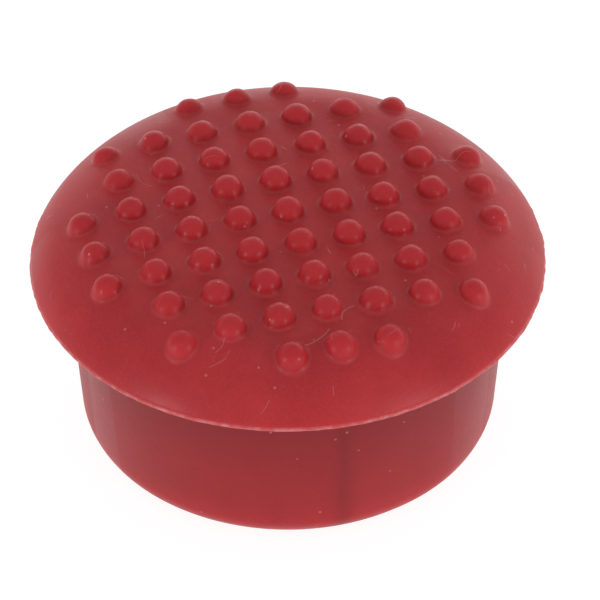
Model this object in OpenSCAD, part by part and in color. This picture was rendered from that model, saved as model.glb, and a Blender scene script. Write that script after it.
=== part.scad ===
// Fingertip cap for a pointing stick: a soft rubber skin with grip nubs,
// moulded over a hard insert whose square socket pushes onto the stick's post.
// The origin is at the centre of the collar's foot and +Z points up through the crown.
// The rows of nubs and the sides of the socket run along X and Y.

/* [Crown and rim] */
// Diameter of the rim, the widest part of the cap
rim_d = 8.4; // [8:0.1:9.2]
// Height of the crown's top above the rim's underside
crown_rise = 1.08; // [1.07:0.01:1.2]
// Radius of the rolled shoulder round the crown
shoulder_r = 1.53; // [1.49:0.02:1.55]
// Radius of the tighter roll from the shoulder to the rim's edge
rim_roll_r = 0.18; // [0.12:0.02:0.24]
// Slope at which the shoulder hands over to that tighter roll, in degrees
handover_slope = 64; // [63:0.5:65]
// Height of the upright band at the rim's edge
rim_land = 0.03; // [0.02:0.01:0.06]

/* [Collar] */
// Height of the collar, from its foot to the rim's underside
collar_h = 3.08; // [3:0.01:3.3]
// Diameter of the collar where it meets the rim
collar_top_d = 7.26; // [7.1:0.02:7.5]
// Diameter of the collar at its foot, before the edge is rounded
collar_foot_d = 6.74; // [6.7:0.02:7]
// Radius of the rounded edge at the collar's foot
foot_edge_r = 0.46; // [0.3:0.02:0.48]
// Radius of the hollow corner between the collar and the rim
under_rim_r = 0.12; // [0.05:0.01:0.2]

/* [Grip nubs] */
// Distance between neighbouring nubs, along X and along Y
nub_pitch = 0.808; // [0.75:0.002:0.82]
// Diameter of a nub
nub_d = 0.5; // [0.44:0.02:0.56]
// Radius of the dome on top of a nub
nub_dome_r = 0.26; // [0.26:0.01:0.35]
// Height of a nub above the crown
nub_h = 0.28; // [0.18:0.02:0.32]
// Radius of the round field that holds the nubs
nub_field_r = 3.5; // [2.4:0.1:3.5]

/* [Socket insert] */
// Width of the square post that the cap pushes onto
post_w = 4; // [3.6:0.05:4]
// Gap between the post and the socket's walls, over both sides together
post_play = 0.1; // [0.05:0.01:0.1]
// Depth of the socket, from the insert's foot to its roof
socket_depth = 2.4; // [2:0.05:2.5]
// Radius of the socket's upright corners
socket_corner_r = 0.3; // [0.2:0.05:0.5]
// Width of the sloping lead-in round the socket's mouth
lead_in = 0.15; // [0.05:0.05:0.15]
// How far each crush rib stands out of the socket's wall
rib_h = 0.1; // [0.06:0.01:0.12]
// Width of a crush rib
rib_w = 0.5; // [0.3:0.05:0.6]
// Diameter of the insert's sleeve
sleeve_d = 6; // [5.95:0.05:6.1]
// Diameter of the insert's head
head_d = 6.5; // [6.3:0.1:6.6]
// Thickness of the insert's head, which roofs the socket
head_t = 0.7; // [0.5:0.05:0.75]
// Height of the rubber lip below the insert's foot
lip_h = 0.2; // [0.15:0.05:0.25]
// Diameter of the opening in the rubber lip
lip_bore_d = 5.6; // [5.5:0.05:5.7]
// Width of the four upright slots that stop the rubber turning on the sleeve
key_w = 0.7; // [0.5:0.05:0.9]
// Depth of those slots
key_depth = 0.35; // [0.2:0.05:0.4]
// Diameter of the four rubber pins that fill the holes in the head
anchor_d = 0.6; // [0.4:0.05:0.7]
// Distance of each rubber pin from the axis
anchor_ring_r = 1.25; // [1:0.05:1.4]

/* [Hidden] */
$fn = 96;

rubber_red = [0.62, 0.13, 0.16];
insert_red = [0.45, 0.07, 0.09];
past = 0.5; // how far a cutting shape runs past the face that it cuts

rim_r = rim_d / 2;
crown_top_z = collar_h + crown_rise;

// Three arcs that touch make the upper face. From the rim inwards they are the tight roll,
// the shoulder, and the crown, whose circle is centred on the axis. The crown ends at
// crown_edge_x. That stays clear of the sides of the nubs there, or the solids don't join.
roll_x = rim_r - rim_roll_r;
roll_z = collar_h + rim_land;
shoulder_x = roll_x - (shoulder_r - rim_roll_r) * sin(handover_slope);
shoulder_z = roll_z - (shoulder_r - rim_roll_r) * cos(handover_slope);
handover_x = roll_x + rim_roll_r * sin(handover_slope);
drop = crown_top_z - shoulder_z;
crown_r = (pow(shoulder_x, 2) + pow(drop, 2) - pow(shoulder_r, 2)) / (2 * (drop - shoulder_r));
crown_centre_z = crown_top_z - crown_r;
crown_edge_x = shoulder_x * crown_r / (crown_r - shoulder_r);

// The collar widens upwards by this angle.
draft = atan((collar_top_d - collar_foot_d) / 2 / collar_h);
function collar_r(z) = collar_foot_d / 2 + z * tan(draft);
foot_edge_x = collar_r(foot_edge_r) - foot_edge_r / cos(draft);
under_rim_z = collar_h - under_rim_r;
under_rim_x = collar_r(under_rim_z) + under_rim_r / cos(draft);

function crown_z(r) = r < crown_edge_x
    ? crown_centre_z + sqrt(pow(crown_r, 2) - pow(r, 2))
    : shoulder_z + sqrt(pow(shoulder_r, 2) - pow(r - shoulder_x, 2));
nub_rows = floor(nub_field_r / nub_pitch);

socket_w = post_w + post_play;
roof_z = lip_h + socket_depth;
rib_foot_z = lip_h + 3 * lead_in; // the ribs start well above the sloping lead-in
quarters = [0, 90, 180, 270];

// The part of a disc that lies between two distances from the axis, above a height.
module disc_slice(centre, r, x_from, x_to, z_from) {
    intersection() {
        translate(centre) circle(r = r);
        translate([x_from, z_from]) square([x_to - x_from, crown_rise + past]);
    }
}

// Half section of the crown and the rim, down to the rim's underside.
module crown_section() {
    disc_slice([0, crown_centre_z], crown_r, 0, crown_edge_x, collar_h);
    disc_slice([shoulder_x, shoulder_z], shoulder_r, crown_edge_x, handover_x, collar_h);
    disc_slice([roll_x, roll_z], rim_roll_r, handover_x, rim_r, roll_z);
    translate([handover_x, collar_h]) square([rim_r - handover_x, rim_land]);
}

// Half section of the collar, with its rounded foot and the hollow corner under the rim.
module collar_section() {
    wall_foot = [foot_edge_x + foot_edge_r * cos(draft), foot_edge_r * (1 - sin(draft))];
    polygon([[0, 0], [foot_edge_x, 0], wall_foot, [collar_r(collar_h), collar_h], [0, collar_h]]);
    translate([foot_edge_x, foot_edge_r]) circle(r = foot_edge_r);
    difference() {
        wall_top = [under_rim_x - under_rim_r * cos(draft), under_rim_z + under_rim_r * sin(draft)];
        polygon([wall_top, [under_rim_x, collar_h], [collar_r(collar_h), collar_h]]);
        translate([under_rim_x, under_rim_z]) circle(r = under_rim_r);
    }
}

// One nub, rooted inside the crown: a short round post with a domed top.
module nub() {
    root = nub_d / 2;
    intersection() {
        translate([0, 0, -root]) cylinder(d = nub_d, h = root + nub_h);
        translate([0, 0, nub_h - nub_dome_r]) sphere(r = nub_dome_r);
    }
}

module nub_field() {
    for (i = [-nub_rows : nub_rows], j = [-nub_rows : nub_rows]) {
        r = nub_pitch * norm([i, j]);
        if (r <= nub_field_r)
            translate([i * nub_pitch, j * nub_pitch, crown_z(r)]) nub();
    }
}

// Outer shape of the insert, with its socket and the holes in its head left filled.
module insert_body() {
    difference() {
        union() {
            translate([0, 0, lip_h]) cylinder(d = sleeve_d, h = socket_depth);
            translate([0, 0, roof_z]) cylinder(d = head_d, h = head_t);
        }
        for (a = quarters)
            rotate(a) translate([sleeve_d / 2 - key_depth, -key_w / 2, lip_h - past])
                cube([head_d, key_w, socket_depth + past]);
    }
}

// Rubber that fills the holes in the insert's head and locks the crown down onto it.
module anchor_pins() {
    for (a = quarters)
        rotate(a) translate([anchor_ring_r, 0, roof_z]) cylinder(d = anchor_d, h = head_t);
}

// The socket's opening: a square with rounded corners.
module socket_outline() {
    inner = socket_w / 2 - socket_corner_r;
    square([socket_w, 2 * inner], center = true);
    square([2 * inner, socket_w], center = true);
    for (x = [-inner, inner], y = [-inner, inner])
        translate([x, y]) circle(r = socket_corner_r);
}

// Four-sided ring that widens the socket's mouth downwards.
module socket_lead_in() {
    mouth = socket_w / 2;
    for (a = quarters)
        rotate(a) translate([0, 0, lip_h]) rotate([90, 0, 0])
            linear_extrude(2 * mouth - 2 * socket_corner_r, center = true)
                polygon([
                    [mouth - past, 0], [mouth + lead_in, 0], [mouth, lead_in], [mouth - past, lead_in]
                ]);
}

// A rounded rib up each wall of the socket, which the post crushes as it goes in.
module crush_ribs() {
    rib_r = (pow(rib_w / 2, 2) + pow(rib_h, 2)) / (2 * rib_h);
    for (a = quarters)
        rotate(a) intersection() {
            translate([socket_w / 2 - rib_h + rib_r, 0, rib_foot_z])
                cylinder(r = rib_r, h = roof_z - rib_foot_z);
            translate([socket_w / 2 - past, -rib_w, rib_foot_z])
                cube([past, 2 * rib_w, roof_z - rib_foot_z]);
        }
}

module grip_skin() {
    color(rubber_red) {
        difference() {
            union() {
                rotate_extrude() {
                    crown_section();
                    collar_section();
                }
                nub_field();
            }
            insert_body();
            translate([0, 0, -past]) cylinder(d = lip_bore_d, h = past + lip_h);
        }
        anchor_pins();
    }
}

module socket_insert() {
    color(insert_red) {
        difference() {
            insert_body();
            translate([0, 0, lip_h - past])
                linear_extrude(socket_depth + past) socket_outline();
            socket_lead_in();
            anchor_pins();
        }
        crush_ribs();
    }
}

grip_skin();
socket_insert();
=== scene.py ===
"""Fingertip cap for a pointing stick: a soft rubber skin with grip nubs over a hard insert."""

import math
import random

import bmesh
import bpy
from mathutils import Matrix, Vector, noise
from mathutils.geometry import delaunay_2d_cdt


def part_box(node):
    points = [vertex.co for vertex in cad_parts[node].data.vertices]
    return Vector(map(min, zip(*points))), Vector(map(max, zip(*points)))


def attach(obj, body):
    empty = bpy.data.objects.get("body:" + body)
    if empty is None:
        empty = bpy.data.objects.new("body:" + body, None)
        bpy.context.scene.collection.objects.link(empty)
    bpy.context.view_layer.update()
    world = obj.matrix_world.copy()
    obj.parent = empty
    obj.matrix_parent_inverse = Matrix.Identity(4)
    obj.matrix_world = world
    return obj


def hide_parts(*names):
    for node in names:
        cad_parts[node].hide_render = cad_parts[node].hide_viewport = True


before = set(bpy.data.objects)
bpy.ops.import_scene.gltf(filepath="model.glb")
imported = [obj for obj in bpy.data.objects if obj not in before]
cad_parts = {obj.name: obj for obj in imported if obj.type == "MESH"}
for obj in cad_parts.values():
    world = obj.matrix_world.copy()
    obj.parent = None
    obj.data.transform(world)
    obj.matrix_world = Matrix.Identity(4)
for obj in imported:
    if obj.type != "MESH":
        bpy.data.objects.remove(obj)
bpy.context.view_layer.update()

# Lengths are in millimetres until a mesh or an object is made.
MM = 0.001
skin_low, skin_high = (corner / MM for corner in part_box("grip_skin"))
insert_low, insert_high = (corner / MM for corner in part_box("socket_insert"))

# ---------------------------------------------------------------- crown and rim
RIM_R = skin_high.x
COLLAR_H = 3.08
CROWN_RISE = 1.08
SHOULDER_R = 1.53
ROLL_R = 0.18
HANDOVER_SLOPE = math.radians(64)
RIM_LAND = 0.03
FLASH_REACH = 0.028
CROWN_WAVE = 0.008

# Three arcs that touch make the upper face. From the rim inwards they are the tight roll,
# the shoulder, and the crown, whose circle is centred on the axis.
ROLL_X = RIM_R - ROLL_R
ROLL_Z = COLLAR_H + RIM_LAND
SHOULDER_X = ROLL_X - (SHOULDER_R - ROLL_R) * math.sin(HANDOVER_SLOPE)
SHOULDER_Z = ROLL_Z - (SHOULDER_R - ROLL_R) * math.cos(HANDOVER_SLOPE)
CROWN_TOP_Z = COLLAR_H + CROWN_RISE
DROP = CROWN_TOP_Z - SHOULDER_Z
CROWN_R = (SHOULDER_X**2 + DROP**2 - SHOULDER_R**2) / (2 * (DROP - SHOULDER_R))
CROWN_CENTRE_Z = CROWN_TOP_Z - CROWN_R
TANGENT_X = SHOULDER_X * CROWN_R / (CROWN_R - SHOULDER_R)

# ---------------------------------------------------------------- collar
COLLAR_TOP_R = 3.63
COLLAR_FOOT_R = 3.37
FOOT_EDGE_R = 0.46
UNDER_RIM_R = 0.12
LIP_BORE_R = 2.8
COLLAR_WAVE = 0.006
DRAFT = math.atan((COLLAR_TOP_R - COLLAR_FOOT_R) / COLLAR_H)
MOULD_LINE_RISE = 0.008
MOULD_LINE_HALF_W = 0.07

# ---------------------------------------------------------------- grip nubs
NUB_PITCH = 0.808
NUB_ROWS = 4
NUB_FIELD_R = 3.5
NUB_R = 0.25
NUB_H = 0.285
NUB_EDGE_LOSS = 0.06
FIELD_SHIFT = 0.05
NUB_SPREAD = 0.8
NUB_SPREAD_FALL = 0.25
NUB_DRAFT = math.radians(10)
NUB_LUMPS = 0.05
NUB_FOOT_R = 0.085
NUB_SIDES = 40
FIELD_EDGE_R = 3.9
SCATTER_STEP = 0.09
SLOPE_STEP = 0.02

# ---------------------------------------------------------------- socket insert
SLEEVE_R = 3.0
HEAD_R = insert_high.x
HEAD_T = 0.7
HEAD_TOP_Z = insert_high.z
INSERT_FOOT_Z = insert_low.z
ROOF_Z = HEAD_TOP_Z - HEAD_T
KEY_W = 0.7
KEY_DEPTH = 0.35
PIN_R = 0.3
PIN_RING_R = 1.25
OVERLAP = 0.08

RING_SIDES = 480
QUARTER_TURNS = [quarter * math.pi / 2 for quarter in range(4)]


# ================================================================ skin
def arc(centre, radius, start, end, steps):
    """Points of a section on an arc, between two angles in degrees, both ends included."""
    angles = [math.radians(start + (end - start) * k / steps) for k in range(steps + 1)]
    return [(centre[0] + radius * math.cos(a), centre[1] + radius * math.sin(a)) for a in angles]


def line(start, end, steps):
    """Points of a section on a straight run, without its first point."""
    return [
        tuple(a + (b - a) * k / steps for a, b in zip(start, end)) for k in range(1, steps + 1)
    ]


def crown_height(r):
    """Height of the skin's bare upper face at a distance from the axis, inside the rim's roll."""
    if r <= TANGENT_X:
        return CROWN_CENTRE_Z + math.sqrt(CROWN_R**2 - r**2)
    return SHOULDER_Z + math.sqrt(SHOULDER_R**2 - (r - SHOULDER_X) ** 2)


def crown_wave(x, y):
    """Height of the crown with its faint unevenness, which dies away at the field's edge."""
    r = math.hypot(x, y)
    fade = smooth((FIELD_EDGE_R - r) * 2)
    return crown_height(r) + fade * CROWN_WAVE * noise.noise(Vector((x, y, 7)) * 1.3)


def collar_radius(z):
    return COLLAR_FOOT_R + z * math.tan(DRAFT)


def smooth(t):
    t = min(max(t, 0.0), 1.0)
    return t * t * (3 - 2 * t)


def skin_section():
    """Half section of the skin, from the field's edge over the rim and collar to the axis inside.

    Each row is (distance from the axis, height, how far it follows the uneven flash).
    """
    edge_angle = math.degrees(math.acos((FIELD_EDGE_R - SHOULDER_X) / SHOULDER_R))
    handover_angle = 90 - math.degrees(HANDOVER_SLOPE)
    rows = arc((SHOULDER_X, SHOULDER_Z), SHOULDER_R, edge_angle, handover_angle, 10)[1:]
    rows += arc((ROLL_X, ROLL_Z), ROLL_R, handover_angle, 0, 6)[1:-1]
    flash = [(RIM_R, ROLL_Z, 0.5), (RIM_R, ROLL_Z - RIM_LAND / 2, 1.0), (RIM_R, COLLAR_H, 0.7)]
    under = [(RIM_R - 0.02, COLLAR_H, 0.0)]
    corner_z = COLLAR_H - UNDER_RIM_R
    corner_x = collar_radius(corner_z) + UNDER_RIM_R / math.cos(DRAFT)
    wall = line(under[0][:2], (corner_x, COLLAR_H), 4)
    draft_deg = math.degrees(DRAFT)
    wall += arc((corner_x, corner_z), UNDER_RIM_R, 90, 180 - draft_deg, 6)[1:]
    foot_x = collar_radius(FOOT_EDGE_R) - FOOT_EDGE_R / math.cos(DRAFT)
    foot_edge = arc((foot_x, FOOT_EDGE_R), FOOT_EDGE_R, -draft_deg, -90, 12)
    wall += line(wall[-1], foot_edge[0], 30)
    wall += foot_edge[1:]
    wall += line(wall[-1], (LIP_BORE_R, 0), 2)
    wall += line(wall[-1], (LIP_BORE_R, INSERT_FOOT_Z), 2)
    wall += line(wall[-1], (SLEEVE_R, INSERT_FOOT_Z), 1)
    wall += line(wall[-1], (SLEEVE_R, ROOF_Z), 4)
    wall += line(wall[-1], (HEAD_R, ROOF_Z), 1)
    wall += line(wall[-1], (HEAD_R, HEAD_TOP_Z), 1)
    return [(*row, 0.0) for row in rows] + flash + under + [(*row, 0.0) for row in wall]


def uneven(r, z, a, follow):
    """The rubber's own unevenness: ragged flash, a faint wave, and the mould line on the collar."""
    x, y = math.cos(a), math.sin(a)
    if follow:
        ragged = noise.noise(Vector((x, y, 0)) * RIM_R * 2.6)
        ragged += noise.noise(Vector((x, y, 3)) * RIM_R * 9)
        r += FLASH_REACH * follow * (0.6 + 0.5 * ragged)
    if r < SLEEVE_R + OVERLAP or z < 0.02:
        return r
    r += COLLAR_WAVE * noise.noise(Vector((x * 2.2, y * 2.2, z * 0.8)))
    if FOOT_EDGE_R < z < COLLAR_H - UNDER_RIM_R and r < COLLAR_TOP_R + 0.02:
        fade = smooth((z - FOOT_EDGE_R) * 3) * smooth((COLLAR_H - UNDER_RIM_R - z) * 3)
        r += MOULD_LINE_RISE * fade * math.exp(-((x * r / MOULD_LINE_HALF_W) ** 2))
    return r


def nub_side(ground, ball_z, radius, foot):
    """Section of one side of a nub, from its foot on the crown to near its top.

    The nub is a ball on a wall that leans a little. A hollow fillet of radius foot joins it to
    the crown, whose height at a distance from the nub's axis is ground(distance).
    Each point is (distance from the nub's axis, height).
    """
    # How far out the fillet's centre lies depends on its height over the slope, and the other
    # way round, so both are worked out in a few turns.
    outer = radius + foot
    reach = outer
    for _ in range(6):
        climb = ground(reach + SLOPE_STEP) - ground(reach - SLOPE_STEP)
        tilt = math.atan(climb / (2 * SLOPE_STEP))
        above = ground(reach + foot * math.sin(tilt)) + foot * math.cos(tilt) - ball_z
        below_ball = max(0.0, outer * math.sin(NUB_DRAFT) - above)
        if below_ball:
            reach = outer * math.cos(NUB_DRAFT) + below_ball * math.tan(NUB_DRAFT)
        else:
            reach = math.sqrt(outer**2 - above**2)
    lean = NUB_DRAFT if below_ball else math.atan2(above, reach)
    start, end = tilt - math.pi / 2, lean - math.pi
    turns = [start + (end - start) * k / 6 for k in range(7)]
    fillet = [(reach + foot * math.cos(t), ball_z + above + foot * math.sin(t)) for t in turns]
    wall = below_ball / math.cos(NUB_DRAFT)
    length = wall + radius * (math.pi / 2 - lean)
    upper = []
    for k in range(1, 11):
        along = length * k / 11
        turn = lean + max(0.0, along - wall) / radius
        left = max(0.0, wall - along)
        upper.append((radius * math.cos(turn) + left * math.sin(lean),
                      ball_z + radius * math.sin(turn) - left * math.cos(lean)))
    return fillet + upper


def nub_sides(place, radius, height, foot):
    """Sections of a nub all round it. Where the crown falls away, the fillet is larger."""
    x, y = place
    middle = crown_wave(x, y)
    sides = []
    for k in range(NUB_SIDES):
        a = math.tau * k / NUB_SIDES

        def ground(distance, a=a):
            return crown_wave(x + distance * math.cos(a), y + distance * math.sin(a))

        fall = smooth((middle - ground(radius + foot)) / NUB_SPREAD_FALL)
        spread_foot = foot * (1 + NUB_SPREAD * fall)
        sides.append(nub_side(ground, middle + height - radius, radius, spread_foot))
    return sides


def nub_places():
    """Grid places of the nubs: a square grid cut to a round field."""
    numbers = range(-NUB_ROWS, NUB_ROWS + 1)
    places = [(i * NUB_PITCH, j * NUB_PITCH) for j in numbers for i in numbers]
    return [place for place in places if math.hypot(*place) <= NUB_FIELD_R]


def crown_net(mesh, rng):
    """Nubbed crown out to the field's edge. Returns the loop of vertices at that edge."""
    flat = []
    edges = []

    def ring(x, y, reaches):
        first, sides = len(flat), len(reaches)
        turns = [math.tau * k / sides for k in range(sides)]
        flat.extend((x + r * math.cos(t), y + r * math.sin(t)) for r, t in zip(reaches, turns))
        edges.extend((first + k, first + (k + 1) % sides) for k in range(sides))
        return list(range(first, first + sides))

    rim_ring = ring(0, 0, [FIELD_EDGE_R] * RING_SIDES)
    nubs = []
    for x, y in nub_places():
        # The field sits a little off centre, and the nubs get lower towards its far side.
        outward = math.hypot(x, y) / NUB_FIELD_R
        loss = NUB_EDGE_LOSS * outward**2 * (1.4 * outward + y / NUB_FIELD_R)
        height = (NUB_H - loss) * rng.uniform(0.95, 1.05)
        y -= FIELD_SHIFT
        radius, foot = NUB_R * rng.uniform(0.98, 1.03), NUB_FOOT_R * rng.uniform(0.8, 1.3)
        place = (x + rng.uniform(-0.008, 0.008), y + rng.uniform(-0.008, 0.008))
        sides = nub_sides(place, radius, height, foot)
        reaches = [side[0][0] for side in sides]
        nubs.append((place, max(reaches), sides, height, ring(*place, reaches)))

    row_step = SCATTER_STEP * math.sqrt(3) / 2
    rows = int(FIELD_EDGE_R / row_step)
    columns = int(FIELD_EDGE_R / SCATTER_STEP)
    for row in range(-rows, rows + 1):
        for column in range(-columns, columns + 1):
            x = (column + (row % 2) / 2) * SCATTER_STEP
            y = row * row_step
            if math.hypot(x, y) > FIELD_EDGE_R - SCATTER_STEP * 0.6:
                continue
            if any(math.hypot(x - p[0], y - p[1]) < r + SCATTER_STEP * 0.55 for p, r, *_ in nubs):
                continue
            flat.append((x, y))

    made = delaunay_2d_cdt([Vector(p) for p in flat], edges, [], 0, 1e-6, True)
    points, _, faces, origins = made[:4]
    vertex = {}
    for index, point in enumerate(points):
        new = mesh.verts.new((point.x, point.y, crown_wave(point.x, point.y)))
        for origin in origins[index]:
            vertex[origin] = new
    nub_of = {k: n for n, nub in enumerate(nubs) for k in nub[4]}
    owner = [{nub_of.get(origin) for origin in group} for group in origins]
    by_index = [vertex[group[0]] for group in origins]
    for face in faces:
        owners = set.union(*(owner[k] for k in face))
        if len(owners) == 1 and None not in owners:
            continue
        mesh.faces.new([by_index[k] for k in face])

    for (x, y), _, sides, height, foot_ring in nubs:
        loop = [vertex[k] for k in foot_ring]
        for level in range(1, len(sides[0])):
            above = []
            for k, side in enumerate(sides):
                a = math.tau * k / NUB_SIDES
                distance, z = side[level]
                spot = Vector((x + 0.2 * math.cos(a), y + 0.2 * math.sin(a), z))
                distance *= 1 + NUB_LUMPS * noise.noise(spot * 5) * smooth(level / 6)
                px, py = x + distance * math.cos(a), y + distance * math.sin(a)
                above.append(mesh.verts.new((px, py, z)))
            bridge(mesh, loop, above)
            loop = above
        tip = mesh.verts.new((x, y, crown_wave(x, y) + height))
        for k in range(NUB_SIDES):
            mesh.faces.new((loop[k], loop[(k + 1) % NUB_SIDES], tip))
    return [vertex[k] for k in rim_ring]


def bridge(mesh, lower, upper):
    """Quads between two loops that have the same number of vertices."""
    count = len(lower)
    for k in range(count):
        n = (k + 1) % count
        mesh.faces.new((lower[k], lower[n], upper[n], upper[k]))


def finished_object(name, mesh_data, material):
    """Object in metres, riding on the cap's only body, in its material."""
    mesh_data.transform(Matrix.Scale(MM, 4))
    made = bpy.data.objects.new(name, mesh_data)
    bpy.context.scene.collection.objects.link(made)
    made.data.materials.clear()
    made.data.materials.append(material)
    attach(made, "root")
    return made


def shell(mesh, corners, low, high):
    """Closed upright prism over an outline given in turn."""
    below = [mesh.verts.new((x, y, low)) for x, y in corners]
    above = [mesh.verts.new((x, y, high)) for x, y in corners]
    bridge(mesh, below, above)
    mesh.faces.new(above)
    mesh.faces.new(below[::-1])


def lock_shapes(mesh):
    """Keys beside the insert's sleeve and pins through its head, sunk a little into the rubber."""
    for turn in QUARTER_TURNS:
        along = Vector((math.cos(turn), math.sin(turn)))
        across = Vector((-math.sin(turn), math.cos(turn)))
        near, far, half = SLEEVE_R - KEY_DEPTH, SLEEVE_R + OVERLAP, KEY_W / 2
        key = [along * near - across * half, along * far - across * half,
               along * far + across * half, along * near + across * half]
        shell(mesh, key, INSERT_FOOT_Z, ROOF_Z)
        turns = [math.tau * k / 32 for k in range(32)]
        pin = [along * PIN_RING_R + Vector((math.cos(t), math.sin(t))) * PIN_R for t in turns]
        shell(mesh, pin, ROOF_Z, HEAD_TOP_Z + OVERLAP)


def make_skin(material):
    mesh = bmesh.new()
    outer = crown_net(mesh, random.Random(61))
    for r, z, follow in skin_section():
        loop = []
        for k in range(RING_SIDES):
            a = math.tau * k / RING_SIDES
            reach = uneven(r, z, a, follow)
            loop.append(mesh.verts.new((reach * math.cos(a), reach * math.sin(a), z)))
        bridge(mesh, loop, outer)
        outer = loop
    mesh.faces.new(outer)
    lock_shapes(mesh)
    bmesh.ops.recalc_face_normals(mesh, faces=mesh.faces[:])
    data = bpy.data.meshes.new("grip_skin_mesh")
    mesh.to_mesh(data)
    mesh.free()
    data.shade_smooth()
    skin = finished_object("grip_skin_rubber", data, material)
    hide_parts("grip_skin")


# ================================================================ finishes
class Level:
    """One output of a finish's nodes. Arithmetic on it adds Math nodes to that finish."""

    def __init__(self, finish, socket):
        self.finish = finish
        self.socket = socket

    def _math(self, operation, first, second):
        return self.finish.node(
            "ShaderNodeMath", {"operation": operation}, {0: first, 1: second}
        )

    def __add__(self, other):
        return self._math("ADD", self, other)

    def __sub__(self, other):
        return self._math("SUBTRACT", self, other)

    def __rsub__(self, other):
        return self._math("SUBTRACT", other, self)

    def __mul__(self, other):
        return self._math("MULTIPLY", self, other)

    def __pow__(self, other):
        return self._math("POWER", self, other)

    def __lt__(self, other):
        return self._math("LESS_THAN", self, other)

    def __gt__(self, other):
        return self._math("GREATER_THAN", self, other)

    def size(self):
        """The level without its sign."""
        return self._math("ABSOLUTE", self, 0.0)

    __radd__ = __add__
    __rmul__ = __mul__


class Finish:
    """The nodes of a material, or of the studio's air."""

    def __init__(self, owner):
        self.owner = owner
        owner.use_nodes = True
        self.tree = owner.node_tree
        self.tree.nodes.clear()

    def node(self, kind, settings=(), sockets=(), output=0):
        """Adds a node: its settings first, then a value or a link for each socket given."""
        made = self.tree.nodes.new(kind)
        for name, value in dict(settings).items():
            setattr(made, name, value)
        for name, value in dict(sockets).items():
            if isinstance(value, Level):
                self.tree.links.new(value.socket, made.inputs[name])
            else:
                made.inputs[name].default_value = value
        return Level(self, made.outputs[output])

    def place(self):
        """Where a point lies on the cap, in millimetres."""
        spot = self.node("ShaderNodeTexCoord", output="Object")
        return self.node(
            "ShaderNodeVectorMath", {"operation": "SCALE"}, {"Vector": spot, "Scale": 1 / MM}
        )

    def vector(self, operation, first, second=(0, 0, 0), output="Vector"):
        """Arithmetic on places and fixed vectors."""
        return self.node(
            "ShaderNodeVectorMath", {"operation": operation}, {0: first, 1: second}, output
        )

    def grain(self, place, per_mm, detail=3.0, roughness=0.5, distortion=0.0):
        """Noise of a given fineness, from 0 to 1."""
        return self.node(
            "ShaderNodeTexNoise",
            {},
            {"Vector": place, "Scale": per_mm, "Detail": detail, "Roughness": roughness,
             "Distortion": distortion},
        )

    def step(self, level, low, high):
        """0 below low, 1 above high, and a smooth rise between them."""
        return self.node(
            "ShaderNodeMapRange",
            {"interpolation_type": "SMOOTHSTEP"},
            {"Value": level, "From Min": low, "From Max": high},
        )

    def line(self, level, middle, half_width):
        """1 where the level is at the middle, falling to 0 at the half width on both sides."""
        return 1 - self.step((level - middle).size(), 0.0, half_width)

    def specks(self, place, per_mm, reach, share):
        """Small round marks at random spots, on about the given share of a net of cells."""
        sockets = {"Vector": place, "Scale": per_mm}
        distance = self.node("ShaderNodeTexVoronoi", {}, sockets, output="Distance")
        tint = self.node("ShaderNodeTexVoronoi", {}, sockets, output="Color")
        chance = self.node("ShaderNodeSeparateColor", {}, {"Color": tint}, output="Red")
        return (1 - self.step(distance, reach * 0.5, reach)) * (chance < share)

    def axis(self, place, name):
        return self.node("ShaderNodeSeparateXYZ", {}, {"Vector": place}, output=name)

    def distance(self, place, centre, flat=False):
        """How far a point lies from a centre, or from the upright line through it."""
        offset = self.vector("SUBTRACT", place, centre)
        if flat:
            offset = self.vector("MULTIPLY", offset, (1, 1, 0))
        return self.vector("LENGTH", offset, output="Value")

    def blend(self, amount, first, second):
        """Colour that goes from the first to the second as amount goes from 0 to 1."""
        return self.node(
            "ShaderNodeMix", {"data_type": "RGBA"}, {0: amount, 6: first, 7: second}, output=2
        )

    def bump(self, strength, depth, relief):
        """Fine relief for the Normal socket. Its depth is in metres."""
        return self.node(
            "ShaderNodeBump", {}, {"Strength": strength, "Distance": depth, "Height": relief}
        )

    def close(self, sockets, constants):
        """The shader itself: sockets hold values or links, constants plain numbers and colours."""
        shader = self.node("ShaderNodeBsdfPrincipled", {}, {**constants, **sockets})
        return self.end("ShaderNodeOutputMaterial", shader)

    def end(self, kind, shader):
        """Joins the shader to the output node and gives back the material or the air."""
        out = self.tree.nodes.new(kind)
        self.tree.links.new(shader.socket, out.inputs["Surface"])
        return self.owner


def colour(red, green, blue):
    return (red, green, blue, 1.0)


SKIN_DEEP = colour(0.38, 0.016, 0.021)
SKIN_LIGHT = colour(0.45, 0.024, 0.029)
# Painted light on the nubs' tops.
NUB_TOP_PAINTED_LIGHT = colour(0.46, 0.028, 0.036)
SKIN_POWDER = colour(0.52, 0.07, 0.08)
# Painted shade on the collar, deepest under the rim.
COLLAR_PAINTED_SHADE = colour(0.22, 0.012, 0.015)
# Painted shade along the mould line.
MOULD_LINE_PAINTED_SHADE = colour(0.17, 0.010, 0.012)
# Painted highlight along the rim's flash.
RIM_PAINTED_HIGHLIGHT = colour(0.57, 0.235, 0.245)
DUST = colour(0.56, 0.26, 0.26)
GRIT = colour(0.06, 0.02, 0.02)
INSERT_DEEP = colour(0.16, 0.012, 0.016)
INSERT_LIGHT = colour(0.21, 0.016, 0.022)
INSERT_SCRAPED = colour(0.3, 0.05, 0.06)


# Curved hairs between the front nubs: centre and radius of the bow, middle and reach of the hair.
HAIRS = [
    ((-0.62, -2.43, 0), 0.71, (-0.3, -3.05, 0), 0.27),
    ((0.48, -2.80, 0), 0.32, (0.26, -2.57, 0), 0.2),
]


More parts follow.
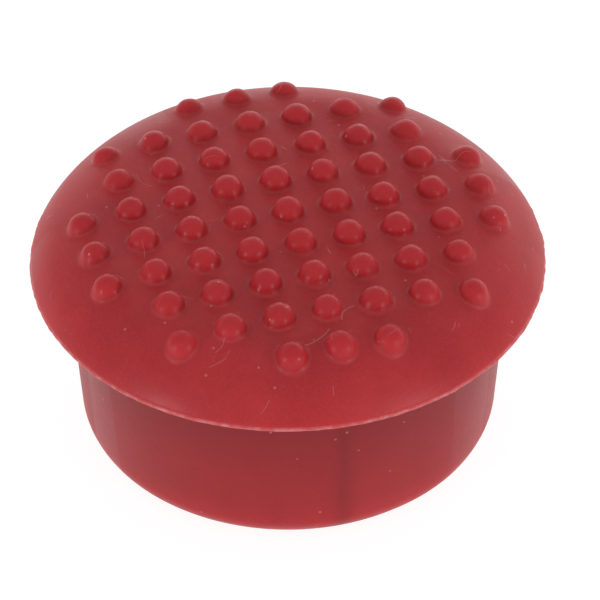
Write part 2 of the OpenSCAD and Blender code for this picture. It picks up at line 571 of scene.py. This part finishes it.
def skin_rubber():
    """Soft matte red rubber: mottled, faintly dusty, rubbed smoother on top of the nubs, with
    painted light on the nubs' tops and the rim's flash, and painted shade on the collar and its
    mould line.
    """
    finish = Finish(bpy.data.materials.new("skin_rubber"))
    place = finish.place()
    mottle = finish.grain(place, 0.8, 4, 0.6)
    cloud = finish.grain(place, 3.4, 3, 0.6)
    fine = finish.grain(place, 24, 3, 0.65)

    # Height above the bare crown or shoulder, which tells the nubs' tops from the valleys.
    height = finish.axis(place, "Z")
    out = finish.distance(place, (0, 0, 0), flat=True)
    above_crown = finish.distance(place, (0, 0, CROWN_CENTRE_Z)) - CROWN_R
    inward, upward = out - SHOULDER_X, height - SHOULDER_Z
    above_shoulder = (inward * inward + upward * upward) ** 0.5 - SHOULDER_R
    rise = above_crown + (above_shoulder - above_crown) * (out > TANGENT_X)
    top = finish.step(rise, 0.03, 0.14) * (height > COLLAR_H)
    foot = finish.line(rise, 0.02, 0.035) * (height > COLLAR_H)
    shift = finish.vector("ADD", place, (NUB_PITCH / 2, NUB_PITCH / 2, 0))
    cell = finish.vector("SNAP", shift, (NUB_PITCH, NUB_PITCH, 20))
    own = finish.node("ShaderNodeTexWhiteNoise", {}, {"Vector": cell}, output="Value")

    # Pale dust, dark grit and short fibres of lint.
    dust = finish.specks(place, 5.0, 0.16, 0.17)
    grit = finish.specks(place, 3.1, 0.07, 0.08)
    thread = finish.grain(place, 0.8, 1.0, 0.4, 0.9)
    where = finish.step(finish.grain(place, 2.2, 1), 0.6, 0.66)
    lint = finish.line(thread, 0.52, 0.004) * where
    lint = lint * finish.step(height, COLLAR_H - 0.2, COLLAR_H + 0.2)
    for centre, bow, middle, reach in HAIRS:
        along = finish.distance(place, middle, flat=True) < reach
        lint = lint + finish.line(finish.distance(place, centre, flat=True), bow, 0.016) * along

    # Painted highlight along the thin ragged flash round the rim, paler in patches.
    painted_rim_highlight = finish.line(height, COLLAR_H + 0.02, 0.06)
    painted_rim_highlight = painted_rim_highlight * finish.step(out, RIM_R - 0.05, RIM_R - 0.01)
    ragged = finish.step(finish.grain(place, 7, 2), 0.35, 0.7)
    # Painted shade in a band along the mould line on the collar.
    painted_seam_shade = finish.line(finish.axis(place, "X"), 0.0, 0.26) * (height < COLLAR_H - UNDER_RIM_R)

    base = finish.blend(finish.step(mottle, 0.3, 0.7), SKIN_DEEP, SKIN_LIGHT)
    base = finish.blend(finish.step(cloud, 0.4, 0.8) * 0.25, base, SKIN_DEEP)
    base = finish.blend(finish.step(fine, 0.45, 0.75) * 0.22, base, SKIN_POWDER)
    # Painted shade on the collar: darkest under the rim, with a painted contact shade where the
    # foot meets the floor.
    under = 0.08 + finish.line(height, 0.0, 0.22) * 0.5 + finish.step(height, 0.15, 0.9) * 0.47
    under = under + finish.step(height, 0.8, COLLAR_H - 0.3) * 0.42
    base = finish.blend(under * (height < COLLAR_H - 0.02), base, COLLAR_PAINTED_SHADE)
    # Painted light: the nubs' tops are made lighter than the valleys.
    base = finish.blend(top * 0.5, base, NUB_TOP_PAINTED_LIGHT)
    base = finish.blend(foot * 0.07, base, DUST)
    # Painted shade along the mould line.
    base = finish.blend(painted_seam_shade * 0.42, base, MOULD_LINE_PAINTED_SHADE)
    # Painted highlight along the rim's flash.
    base = finish.blend(painted_rim_highlight * (0.3 + ragged * 0.5), base, RIM_PAINTED_HIGHLIGHT)
    base = finish.blend(dust * (0.4 + top * 0.2), base, DUST)
    base = finish.blend(lint * 0.45, base, DUST)
    base = finish.blend(grit * 0.6, base, GRIT)

    rough = 0.42 + (mottle - 0.5) * 0.2 + (fine - 0.5) * 0.12 + (own - 0.5) * 0.12
    rough = rough - top * 0.05 + dust * 0.2
    lumps = finish.grain(place, 7, 2, 0.5)
    relief = fine * (1 - top * 0.6) + lumps * 1.6 + cloud * 0.5
    relief = relief + dust * 1.2 + lint * 1.5 + grit * 0.8
    bump = finish.bump(0.3, 0.000006, relief)
    return finish.close(
        {"Base Color": base, "Roughness": rough, "Normal": bump},
        {"Subsurface Weight": 0.35, "Subsurface Radius": (1.0, 0.1, 0.08),
         "Subsurface Scale": 0.0004, "Sheen Weight": 0.01, "Sheen Roughness": 0.5,
         "Specular IOR Level": 0.17},
    )


def insert_plastic():
    """Hard dark red plastic with the fine texture of its mould."""
    finish = Finish(bpy.data.materials.new("insert_plastic"))
    place = finish.place()
    mottle = finish.grain(place, 0.7, 2)
    fine = finish.grain(place, 18, 3, 0.6)
    # Scratches that the post leaves on the socket's walls run along the way it goes in.
    long_way = finish.vector("MULTIPLY", place, (1, 1, 0.06))
    scratch = finish.line(finish.grain(long_way, 9, 2), 0.5, 0.02)
    base = finish.blend(mottle, INSERT_DEEP, INSERT_LIGHT)
    base = finish.blend(scratch * 0.3, base, INSERT_SCRAPED)
    rough = 0.38 + (fine - 0.5) * 0.12 + scratch * 0.15
    bump = finish.bump(0.2, 0.000005, fine - scratch * 0.5)
    return finish.close({"Base Color": base, "Roughness": rough, "Normal": bump}, {})


# ================================================================ studio
CAMERA_AZIMUTH = -14.93
CAMERA_ELEVATION = 40.38
CAMERA_DISTANCE = 36 * RIM_R
CAMERA_RIGHT = 0.0476 * RIM_R
CAMERA_DOWN = 0.1541 * RIM_R
CAMERA_ROLL = 0.355
LENS = 555.0

WALL_LIGHT = 0.48
BACK_WALL_LIGHT = 2.1
BACK_WALL_TURN = 15
CEILING_LIGHT = 0.7
WALL_TOP = (0.1, 0.6)
LAMP_ELEVATION = math.radians(6)
LAMP_DISTANCE = 0.4
LAMP_SIZE = 0.03


def view_axes():
    """The camera's right, up and backward directions."""
    a, e = math.radians(CAMERA_AZIMUTH), math.radians(CAMERA_ELEVATION)
    back = Vector((math.sin(a) * math.cos(e), -math.cos(a) * math.cos(e), math.sin(e)))
    right = Vector((math.cos(a), math.sin(a), 0))
    up = back.cross(right)
    roll = math.radians(CAMERA_ROLL)
    turned_right = right * math.cos(roll) - up * math.sin(roll)
    turned_up = right * math.sin(roll) + up * math.cos(roll)
    return turned_right, turned_up, back


def make_camera():
    right, up, back = view_axes()
    data = bpy.data.cameras.new("camera")
    data.lens = LENS
    data.sensor_width = 36
    data.clip_start = 0.01
    data.clip_end = 10
    camera = bpy.data.objects.new("camera", data)
    bpy.context.scene.collection.objects.link(camera)
    place = Vector((0, 0, ROLL_Z)) + back * CAMERA_DISTANCE
    place = place + right * CAMERA_RIGHT - up * CAMERA_DOWN
    axes = Matrix((right, up, back)).transposed().to_4x4()
    camera.matrix_world = Matrix.Translation(place * MM) @ axes
    bpy.context.scene.camera = camera


def make_floor():
    """Plain white floor, a little brighter than the light alone would leave it."""
    finish = Finish(bpy.data.materials.new("floor_white"))
    place = finish.place()
    shade = finish.blend(finish.grain(place, 0.02), colour(0.2, 0.2, 0.2), colour(0.22, 0.22, 0.22))
    material = finish.close(
        {"Base Color": shade},
        {"Roughness": 0.9, "Specular IOR Level": 0.1, "Emission Color": (1, 1, 1, 1),
         "Emission Strength": 0.9},
    )
    mesh = bmesh.new()
    bmesh.ops.create_grid(mesh, x_segments=1, y_segments=1, size=1.5)
    data = bpy.data.meshes.new("floor_mesh")
    mesh.to_mesh(data)
    mesh.free()
    floor = bpy.data.objects.new("floor", data)
    floor.data.materials.append(material)
    bpy.context.scene.collection.objects.link(floor)


def softbox(name, azimuth, power):
    """Square light aimed at the cap; its azimuth is counted from the camera's side."""
    a, e = math.radians(CAMERA_AZIMUTH + azimuth), LAMP_ELEVATION
    away = Vector((math.sin(a) * math.cos(e), -math.cos(a) * math.cos(e), math.sin(e)))
    data = bpy.data.lights.new(name, "AREA")
    data.size = LAMP_SIZE
    data.energy = power
    lamp = bpy.data.objects.new(name, data)
    lamp.location = away * LAMP_DISTANCE + Vector((0, 0, COLLAR_H * MM))
    lamp.rotation_mode = "QUATERNION"
    lamp.rotation_quaternion = away.to_track_quat("Z", "Y")
    bpy.context.scene.collection.objects.link(lamp)


def make_studio():
    """A bright wall behind, dimmer walls and ceiling, and two small low lamps in front."""
    world = bpy.data.worlds.new("studio_air")
    bpy.context.scene.world = world
    air = Finish(world)
    way = air.node("ShaderNodeTexCoord", output="Generated")
    lift = air.step(air.axis(way, "Z"), WALL_TOP[0], WALL_TOP[1])
    a = math.radians(CAMERA_AZIMUTH - BACK_WALL_TURN)
    behind = air.vector("DOT_PRODUCT", way, (-math.sin(a), math.cos(a), 0), "Value")
    wall = WALL_LIGHT + air.step(behind, 0.5, 0.95) * (BACK_WALL_LIGHT - WALL_LIGHT)
    strength = wall * (1 - lift) + lift * CEILING_LIGHT
    glow = air.node("ShaderNodeBackground", {}, {"Color": (1, 1, 1, 1), "Strength": strength})
    air.end("ShaderNodeOutputWorld", glow)
    softbox("left_lamp", -52, 0.33)
    softbox("right_lamp", 50, 0.33)
    bpy.context.scene.view_settings.view_transform = "Standard"
    bpy.context.scene.view_settings.look = "None"


make_camera()
make_floor()
make_studio()
make_skin(skin_rubber())
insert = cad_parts["socket_insert"]
insert.data.materials.clear()
insert.data.materials.append(insert_plastic())
